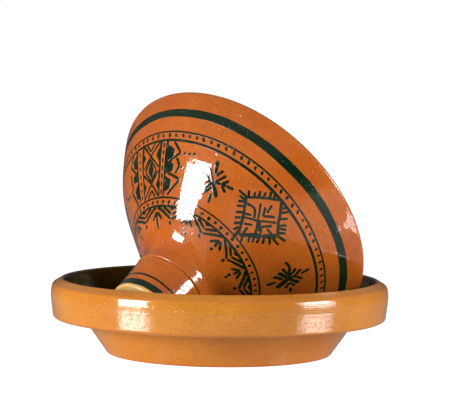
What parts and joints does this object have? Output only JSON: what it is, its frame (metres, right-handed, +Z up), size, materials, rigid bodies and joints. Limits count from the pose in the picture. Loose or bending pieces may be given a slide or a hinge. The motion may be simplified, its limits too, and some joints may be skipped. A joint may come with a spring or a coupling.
{
  "type": "tagine pot",
  "caption": "Round glazed earthenware cooking dish with a thick collar rim and its cone-shaped lid, which lies tilted in the dish on its knob and lifts out.",
  "frame": {"origin": "centre of the dish's flat foot, on the dish's own axis", "axes": "+Z up along the dish's axis; the lid's knob points down towards -X and -Y, and its open side faces up towards +X and +Y"},
  "size_m": [0.3002, 0.3002, 0.2311],
  "materials": {
    "ochre_glaze": "clear gloss over honey-coloured clay, faint throwing lines",
    "green_glaze": "dark olive green gloss, pooled and uneven",
    "terracotta_glaze": "clear gloss over orange-brown terracotta"
  },
  "bodies": {
    "dish": {"dish_body": "ochre_glaze", "dish_liner_glaze": "green_glaze"},
    "lid": {"lid_shell": "terracotta_glaze", "lid_knob": "terracotta_glaze"}
  },
  "joints": [
    {"name": "lid_lift", "type": "slide", "parent": "dish", "child": "lid", "axis": [0, 0, 1], "range_m": [0, 0.15]}
  ]
}
